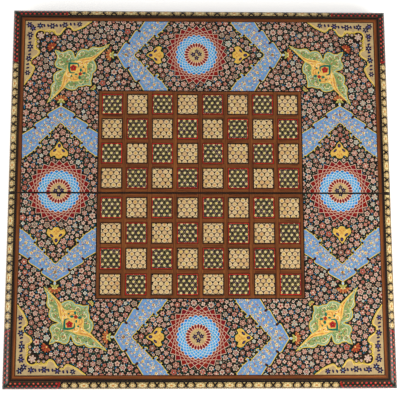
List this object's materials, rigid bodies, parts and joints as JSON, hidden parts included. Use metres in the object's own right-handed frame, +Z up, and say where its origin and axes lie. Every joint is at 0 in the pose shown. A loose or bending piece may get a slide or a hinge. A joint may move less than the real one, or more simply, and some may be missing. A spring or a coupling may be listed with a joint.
{
  "type": "folding chess board",
  "caption": "Folding wooden games case, open flat: mosaic chess field in a lacquered floral panel, mosaic mouldings, shallow trays below, brass hinges at the fold.",
  "frame": {"origin": "middle of the open case, at the underside of the hinge barrels it stands on", "axes": "+Z up out of the playing face, +X to the right along the fold, +Y to the rear half"},
  "size_m": [0.5, 0.5, 0.0398],
  "materials": {
    "ply": "plain, glued",
    "wall_wood": "satin lacquer",
    "band_wood": "gloss lacquer",
    "strip_wood": "gloss lacquer",
    "ebony": "gloss lacquer",
    "red_wood": "gloss lacquer",
    "star_mosaic": "gloss lacquer",
    "dark_mosaic": "gloss lacquer",
    "painting": "painted, gloss lacquer",
    "lining_wood": "satin lacquer",
    "point_light": "satin lacquer",
    "point_dark": "satin lacquer",
    "hinge_brass": "satin",
    "magnet_steel": "nickel plated"
  },
  "bodies": {
    "front_half": {"front_core_panel": "ply", "front_end_rail": "wall_wood", "front_hinge_rail": "wall_wood", "front_left_rail": "wall_wood", "front_right_rail": "wall_wood", "front_end_moulding": "ply", "front_left_moulding": "ply", "front_right_moulding": "ply", "front_edge_mosaic": "star_mosaic", "front_corner_mosaic": "dark_mosaic", "front_fold_caps": "ebony", "front_wall_veneer": "star_mosaic", "front_painted_panel": "painting", "front_wood_band": "band_wood", "front_dark_band": "ebony", "front_stringing": "ebony", "front_fold_lip": "ebony", "front_grid_strips": "strip_wood", "front_light_squares": "star_mosaic", "front_dark_squares": "dark_mosaic", "front_black_outlines": "ebony", "front_red_outlines": "red_wood", "front_lining": "lining_wood", "front_light_points": "point_light", "front_dark_points": "point_dark", "front_magnets": "magnet_steel", "front_hinge_leaves": "hinge_brass", "front_hinge_screws": "hinge_brass", "hinge_pins": "hinge_brass"},
    "rear_half": {"rear_core_panel": "ply", "rear_end_rail": "wall_wood", "rear_hinge_rail": "wall_wood", "rear_left_rail": "wall_wood", "rear_right_rail": "wall_wood", "rear_end_moulding": "ply", "rear_left_moulding": "ply", "rear_right_moulding": "ply", "rear_edge_mosaic": "star_mosaic", "rear_corner_mosaic": "dark_mosaic", "rear_fold_caps": "ebony", "rear_wall_veneer": "star_mosaic", "rear_painted_panel": "painting", "rear_wood_band": "band_wood", "rear_dark_band": "ebony", "rear_stringing": "ebony", "rear_fold_lip": "ebony", "rear_grid_strips": "strip_wood", "rear_light_squares": "star_mosaic", "rear_dark_squares": "dark_mosaic", "rear_black_outlines": "ebony", "rear_red_outlines": "red_wood", "rear_lining": "lining_wood", "rear_light_points": "point_light", "rear_dark_points": "point_dark", "rear_magnets": "magnet_steel", "rear_hinge_leaves": "hinge_brass", "rear_hinge_screws": "hinge_brass"}
  },
  "joints": [
    {"name": "fold", "type": "hinge", "parent": "front_half", "child": "rear_half", "pos_m": [0, 0, 0.0017], "axis": [-1, 0, 0], "range_deg": [0, 180]}
  ]
}
